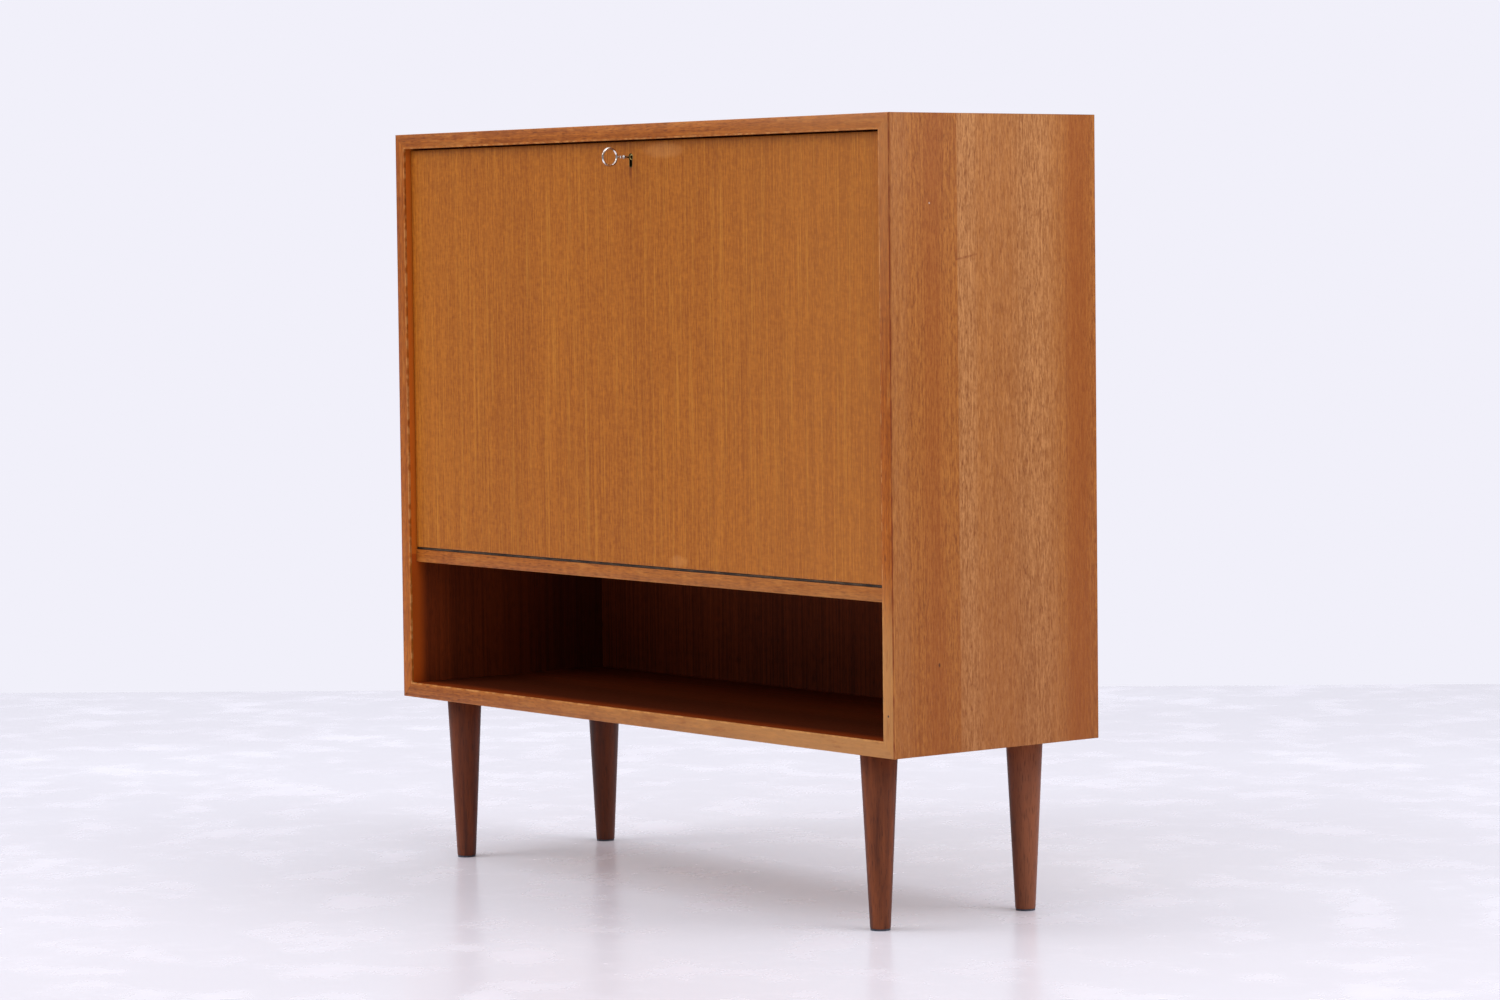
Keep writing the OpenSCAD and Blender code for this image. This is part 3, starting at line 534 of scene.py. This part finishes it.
ply = Finish("back_ply")
ply_face, ply_height = timber(ply, Z, paint(134, 57, 22), paint(86, 34, 13), paint(46, 18, 9),
                              stripe=200, pore_share=0.4, shift=41.0)
ply_back = timber(ply, Z, paint(196, 150, 100), paint(160, 112, 68), paint(120, 78, 44),
                  stripe=120, mottle=0.6, shift=47.0)[0]
panel_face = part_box("back_panel")[0].y
outside_face = ply.axes()[Y] > panel_face + skim
ply_tone = ply.mix(outside_face, ply_face, ply_back)
dress(ply.surface(ply_tone, 0.62, ply_height, 0.0001, Specular_IOR_Level=0.1), "back_panel")
zinc = metal_finish("zinc_plate", paint(196, 196, 200), 0.38)
dress(zinc, "back_screws", "carcass_fitting_screws")


# ---------------------------------------------------------------- stop rail
# A small rail under the top that the shut flap rests against, and a brass plate
# let in over the lock for its bolt.
rail_ease = 0.0008
eased("stop_rail", rail_ease, level_strip)
brass = metal_finish("aged_brass", paint(196, 160, 92), 0.34)
dress(brass, "strike_plate", "shelf_pins", "lock_bolt", "lock_case")


# ---------------------------------------------------------------- insert
# Pigeonholes of thin light boards that stand on the deck behind the flap, with a
# loose shelf over them on brass pins.
pale_upright = plain_wood("pale_upright", Z, paint(206, 156, 104), paint(172, 118, 70), 51.0)
pale_level = plain_wood("pale_level", X, paint(206, 156, 104), paint(172, 118, 70), 57.0)
for board in ("insert_ends", "insert_dividers"):
    dress(pale_upright, board)
for board in ("insert_shelves", "insert_top", "upper_shelf"):
    dress(pale_level, board)


# ---------------------------------------------------------------- drawers
# Two small drawers with veneered fronts, thin sides and turned walnut knobs. They
# run between the upright boards of the insert.
def turned(name, place, turn, profile, sides=64):
    """A round piece: a disc drawn up through steps of height and radius."""
    height, radius = profile[0]
    bpy.ops.object.select_all(action="DESELECT")
    bpy.ops.mesh.primitive_circle_add(vertices=sides, radius=radius, fill_type="NGON",
                                      location=(0, 0, height))
    piece = bpy.context.object
    piece.name = name
    bpy.ops.object.transform_apply(location=True, rotation=False, scale=False)
    bpy.ops.object.mode_set(mode="EDIT")
    bpy.ops.mesh.select_mode(type="FACE")
    bpy.ops.mesh.select_all(action="SELECT")
    for next_height, next_radius in profile[1:]:
        bpy.ops.mesh.extrude_region_move(
            TRANSFORM_OT_translate={"value": (0, 0, next_height - height)})
        bpy.ops.transform.resize(value=(next_radius / radius, next_radius / radius, 1),
                                 center_override=(0, 0, next_height))
        height, radius = next_height, next_radius
    bpy.ops.mesh.select_all(action="SELECT")
    bpy.ops.mesh.normals_make_consistent(inside=False)
    bpy.ops.object.mode_set(mode="OBJECT")
    piece.location = place
    piece.rotation_euler = turn
    bpy.ops.object.transform_apply(location=True, rotation=True, scale=True)
    bpy.ops.object.shade_smooth_by_angle(angle=math.radians(35))
    return piece


def finished(piece, material, body, slot, *stands_for):
    """Gives a new piece its finish, its body and the nodes that it stands for."""
    piece.data.materials.clear()
    piece.data.materials.append(material)
    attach(piece, body)
    if stands_for:
        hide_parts(*stands_for)


def walnut_finish(name, shift, light=paint(132, 68, 33), dark=paint(72, 30, 11), lit_side=(0, 1, 0)):
    """Turned walnut with streaks and bands along it, and a painted highlight down one side."""
    wood = Finish(name)
    streaks = wood.noise((120, 120, 5), shift, 3, 0.55)
    bands = wood.noise((38, 38, 2.4), shift + 4.0, 2, 0.5)
    pores = wood.noise((900, 900, 60), shift + 9.0, 1, 0.4)
    figure = wood.rise((streaks - 0.5) * 1.2 + (bands - 0.5) * 1.1 + 0.5, 0.1, 0.95)
    colour = wood.mix(figure, dark, light)
    dark_x, bright_x, share = lit_side
    # Painted highlight: the leg turns lighter towards one side, where light falls on it.
    colour = wood.mix(wood.rise(wood.axes()[X], dark_x, bright_x) * share, colour, paint(158, 94, 62))
    open_pores = wood.rise(pores, 0.55, 0.7)
    colour = wood.mix(open_pores * 0.45, colour, paint(42, 17, 10))
    height = (streaks - 0.5) * 0.2 - open_pores * 0.5
    return wood.surface(colour, 0.40 + figure * 0.08, height, 0.00008, Specular_IOR_Level=0.22)


drawer_front_finish = Finish("drawer_front_veneer")
front_tone, front_height = timber(drawer_front_finish, X, paint(196, 128, 68), paint(158, 92, 44),
                                  paint(118, 62, 28), shift=61.0)
drawer_front_skin = drawer_front_finish.surface(front_tone, 0.46, front_height, 0.0001)
knob_walnut = walnut_finish("knob_walnut", 15.0)
drawer_ease = 0.0008
neck_r = 0.0030
for side in ("left", "right"):
    body = "drawer_" + side
    eased(body + "_front", drawer_ease, drawer_front_skin)
    dress(pale_level, body + "_sides", body + "_back", body + "_bottom")
    low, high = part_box(body + "_knob")
    reach = high.y - low.y
    knob_r = (high.z - low.z) / 2
    centre = ((low.x + high.x) / 2, high.y, (low.z + high.z) / 2)
    knob = turned(body + "_turned_knob", centre, (math.radians(90), 0, 0), [
        (0.0, neck_r), (0.0078, neck_r), (0.0080, knob_r * 0.50), (0.0102, knob_r * 0.46),
        (0.0130, knob_r * 0.62), (0.0160, knob_r * 0.86), (0.0186, knob_r * 0.98),
        (0.0204, knob_r), (0.0220, knob_r * 0.95), (0.0233, knob_r * 0.78),
        (reach - 0.0002, knob_r * 0.45), (reach, knob_r * 0.15)])
    finished(knob, knob_walnut, body, "walnut", body + "_knob")


# ---------------------------------------------------------------- flap
# A fall flap of blockboard with one quiet, straight-grained veneer on both faces and
# round its lipped edges. It has a rub at the foot, a smear by the key and a stain
# that has run down from the keyhole.
flap_low, flap_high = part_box("flap_lippings")
key_z = (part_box("key")[0].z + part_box("key")[1].z) / 2
flap_skin = Finish("flap_veneer")
x, _, z = flap_skin.axes()
flap_tone, flap_height = timber(flap_skin, Z, paint(180, 106, 28), paint(145, 77, 15),
                                paint(120, 57, 10), stripe=480, stripe_weight=1.25,
                                fleck=(520, 110), fleck_weight=1.1, pore=(900, 60), pore_share=0.3,
                                cloth=(120, 340), mottle=0.7, broad=0.5, shift=71.0)
gold = flap_skin.rise(flap_skin.noise((420, 420, 5), 75.0, 1), 0.56, 0.72)
flap_tone = flap_skin.mix(gold * 0.34, flap_tone, paint(198, 132, 44))
flap_tone = flap_skin.mix(flap_skin.rise(x, 0.05, 0.45) * 0.16, flap_tone, paint(198, 130, 64))
# Painted shadow: the right lipping's shadow darkens the flap along its right edge.
lipping_shadow = flap_skin.rise(x, flap_high.x - 0.040, flap_high.x)
flap_tone = flap_skin.mix(lipping_shadow * 0.3, flap_tone, paint(146, 78, 24))
wear_cloud = flap_skin.noise((90, 90, 90), 3.0, 3)
rub_x = flap_low.x + 0.565
rub_z = flap_low.z + 0.008
rub_half, rub_rise = 0.020, 0.008
rub = ((x - rub_x) / rub_half) ** 2 + ((z - rub_z) / rub_rise) ** 2
rub_share = (1 - flap_skin.rise(rub + (wear_cloud - 0.5) * 2, 0.1, 1.4)) * 0.2
flap_tone = flap_skin.mix(rub_share, flap_tone, paint(222, 156, 92))
smear_x = flap_low.x + 0.545
smear_z = flap_high.z - 0.012
smear_half, smear_rise = 0.040, 0.010
smear = ((x - smear_x) / smear_half) ** 2 + ((z - smear_z) / smear_rise) ** 2
smear_share = (1 - flap_skin.rise(smear + (wear_cloud - 0.5), 0.2, 1.4)) * 0.22
flap_tone = flap_skin.mix(smear_share, flap_tone, paint(212, 150, 90))
stain_x = -0.0012
run_down = 1 - flap_skin.rise(abs(x - stain_x), 0.0008, 0.0052)
run_down = run_down * flap_skin.rise(z, key_z - 0.040, key_z - 0.015) * (z < key_z - 0.010)
flap_tone = flap_skin.mix(run_down * 0.7, flap_tone, paint(104, 42, 5))
flap_sheen = 0.46 - flap_height * 0.1 + (wear_cloud - 0.5) * 0.06
flap_finish = flap_skin.surface(flap_tone, flap_sheen, flap_height, 0.00008, Specular_IOR_Level=0.22)
dress(flap_finish, "flap_board")
flap_ease = 0.0006
eased("flap_lippings", flap_ease, flap_finish)


# ---------------------------------------------------------------- flap hinge
# A long piano hinge of dulled, browned metal, screwed to the deck and the flap. Only
# a dark line of it shows while the flap is shut.
browned = Finish("browned_metal")
tarnish = browned.noise((60, 240, 240), 12.0, 4, 0.6)
browned_tone = browned.mix(browned.rise(tarnish, 0.35, 0.7), paint(44, 34, 28), paint(84, 68, 54))
browned_sheen = 0.42 + (tarnish - 0.5) * 0.3
browned_skin = browned.surface(browned_tone, browned_sheen, tarnish, 0.00002, Metallic=0.85)
dress(browned_skin, "hinge_leaf_deck", "hinge_leaf_flap", "leg_plates")
dress(zinc, "hinge_pin", "flap_fitting_screws")


# ---------------------------------------------------------------- stays
# Two flat steel arms that hold the open flap, each on a rivet in a bracket, with a
# slot that slides on a stud in the side.
arm_steel = metal_finish("arm_steel", paint(188, 188, 192), 0.30, (40, 300, 900))
dress(arm_steel, "stay_arm_left", "stay_arm_right")
dress(zinc, "stay_bracket_left", "stay_bracket_right", "stay_rivets")
dress(zinc, "stay_stud_left", "stay_stud_right")


# ---------------------------------------------------------------- keyhole and key
# A keyhole liner of greenish brass pressed into the flap, and a bright key with a
# ring bow, a bead and a thin stem that carries the bit.
green_brass = metal_finish("green_brass", paint(150, 130, 78), 0.36)
liner = metal_finish("patinated_brass", paint(96, 86, 52), 0.42)
dress(liner, "key_escutcheon")
bush_r = 0.0029
bush_wall = 0.0009
bush_sink = 0.0012
bpy.ops.object.select_all(action="DESELECT")
bpy.ops.mesh.primitive_torus_add(major_segments=40, minor_segments=12, major_radius=bush_r,
                                 minor_radius=bush_wall, location=(0, flap_low.y + bush_sink, key_z),
                                 rotation=(math.radians(90), 0, 0))
bush = bpy.context.object
bush.name = "keyhole_bush"
bpy.ops.object.transform_apply(location=True, rotation=True, scale=True)
bpy.ops.object.shade_smooth_by_angle(angle=math.radians(60))
finished(bush, green_brass, "flap", "brass")
bright = Finish("bright_plate")
# Painted reflection: dark brown patches on the bright steel stand in for what it reflects.
patch_noise = bright.noise((160, 160, 160), 4.0, 3)
reflection_patches = bright.rise(patch_noise, 0.43, 0.57)
bright_skin = bright.surface(bright.mix(reflection_patches * 0.75, paint(224, 220, 214), paint(124, 92, 66)),
                             0.08 + reflection_patches * 0.18, patch_noise, 0.00001, Metallic=1.0)
key_low, key_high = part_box("key")
ring_r = (key_high.z - key_low.z) / 2
wire_r = 0.0014
wire_widen = 1.12
ring_y = key_low.y + ring_r
bpy.ops.object.select_all(action="DESELECT")
bpy.ops.mesh.primitive_torus_add(major_segments=72, minor_segments=20, major_radius=ring_r - wire_r,
                                 minor_radius=wire_r, location=(0, ring_y, key_z),
                                 rotation=(0, math.radians(90), 0))
ring = bpy.context.object
ring.name = "key_ring"
bpy.ops.object.transform_apply(location=True, rotation=True, scale=True)
bpy.ops.object.mode_set(mode="EDIT")
bpy.ops.mesh.select_all(action="SELECT")
bpy.ops.transform.resize(value=(wire_widen, 1, 1), center_override=(0, ring_y, key_z))
bpy.ops.object.mode_set(mode="OBJECT")
bpy.ops.object.shade_smooth_by_angle(angle=math.radians(60))
finished(ring, bright_skin, "key", "bright_steel")
stem_end = key_high.y - ring_y - ring_r + wire_r
stem_r = 0.0012
stem_sides = 40
bead_at = 0.0105
bead_r = 0.0025
stem = turned("key_stem", (0, ring_y + ring_r - wire_r, key_z), (math.radians(-90), 0, 0), [
    (-0.0004, 0.0009), (0.0004, 0.0016), (0.0014, 0.0018), (0.0024, 0.0013), (0.0034, stem_r),
    (0.0044, 0.0011), (0.0050, 0.0016), (0.0058, 0.0018), (0.0066, 0.0014), (0.0074, 0.0011),
    (bead_at - 0.0021, 0.0013), (bead_at - 0.0014, 0.0020), (bead_at, bead_r),
    (bead_at + 0.0014, 0.0020), (bead_at + 0.0021, 0.0013), (bead_at + 0.0030, 0.0016),
    (bead_at + 0.0038, 0.0016), (bead_at + 0.0046, stem_r),
    (stem_end - 0.0004, stem_r), (stem_end, stem_r * 0.7)], stem_sides)
finished(stem, bright_skin, "key", "bright_steel", "key")
bpy.ops.object.select_all(action="DESELECT")
bit_size = (0.0012, 0.0050, 0.0052)
bit_ease = 0.0002
bit_place = (0, key_high.y - 0.0042, key_z - 0.0040)
bpy.ops.mesh.primitive_cube_add(size=1, location=bit_place)
bit = bpy.context.object
bit.name = "key_bit"
bpy.ops.transform.resize(value=bit_size)
bpy.ops.object.transform_apply(location=True, rotation=True, scale=True)
bpy.ops.object.mode_set(mode="EDIT")
bpy.ops.mesh.select_all(action="SELECT")
bpy.ops.mesh.bevel(offset=bit_ease, segments=2, affect="EDGES")
bpy.ops.object.mode_set(mode="OBJECT")
bpy.ops.object.shade_smooth_by_angle(angle=math.radians(40))
finished(bit, bright_skin, "key", "bright_steel")


# ---------------------------------------------------------------- legs
# Four walnut legs turned to a straight taper, each drawn up to a thin dark plate by
# a bolt, with a plastic glide pressed into its foot.
leg_x = (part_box("leg_front_right")[0].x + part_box("leg_front_right")[1].x) / 2
# The legs are one walnut toned leg by leg as painted light and shade: the back-left leg darkest, and a
# painted highlight down the left of the front-left leg and the right of the back-right leg.
leg_walnut = {
    "leg_front_left": walnut_finish("walnut_front_left", 13.0, paint(114, 54, 24), paint(60, 22, 8),
                                    (0.010 - leg_x, -0.020 - leg_x, 0.42)),
    "leg_front_right": walnut_finish("walnut_front_right", 26.0),
    "leg_back_left": walnut_finish("walnut_back_left", 39.0, paint(100, 47, 19), paint(55, 20, 6)),
    "leg_back_right": walnut_finish("walnut_back_right", 52.0, paint(118, 60, 29), paint(68, 28, 11),
                                    (leg_x - 0.006, leg_x + 0.016, 0.60)),
}
foot_share = 24.5 / 44.5  # width at the foot over width at the top
leg_sides = 96
leg_ease = 0.0012
for leg, walnut in leg_walnut.items():
    low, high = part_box(leg)
    top_r = (high.x - low.x) / 2
    foot_r = top_r * foot_share
    tall = high.z - low.z
    centre = ((low.x + high.x) / 2, (low.y + high.y) / 2, low.z)
    steps = [(0.0, foot_r - leg_ease), (0.0004, foot_r - 0.0004), (0.0014, foot_r)]
    for share in (0.25, 0.5, 0.75):
        steps.append((tall * share, foot_r + (top_r - foot_r) * share))
    steps += [(tall - leg_ease, top_r), (tall - 0.0003, top_r - 0.0004), (tall, top_r - leg_ease)]
    piece = turned(leg + "_turned", centre, (0, 0, 0), steps, leg_sides)
    finished(piece, walnut, "carcass", "walnut", leg)
dress(zinc, "leg_plate_screws", "leg_bolts")
glide = Finish("glide_plastic")
scuff = glide.noise((400, 400, 400), 8.0, 3)
glide_tone = glide.mix(glide.rise(scuff, 0.4, 0.7), paint(38, 42, 54), paint(70, 74, 88))
dress(glide.surface(glide_tone, 0.5 + (scuff - 0.5) * 0.3, scuff, 0.00003), "foot_glides")
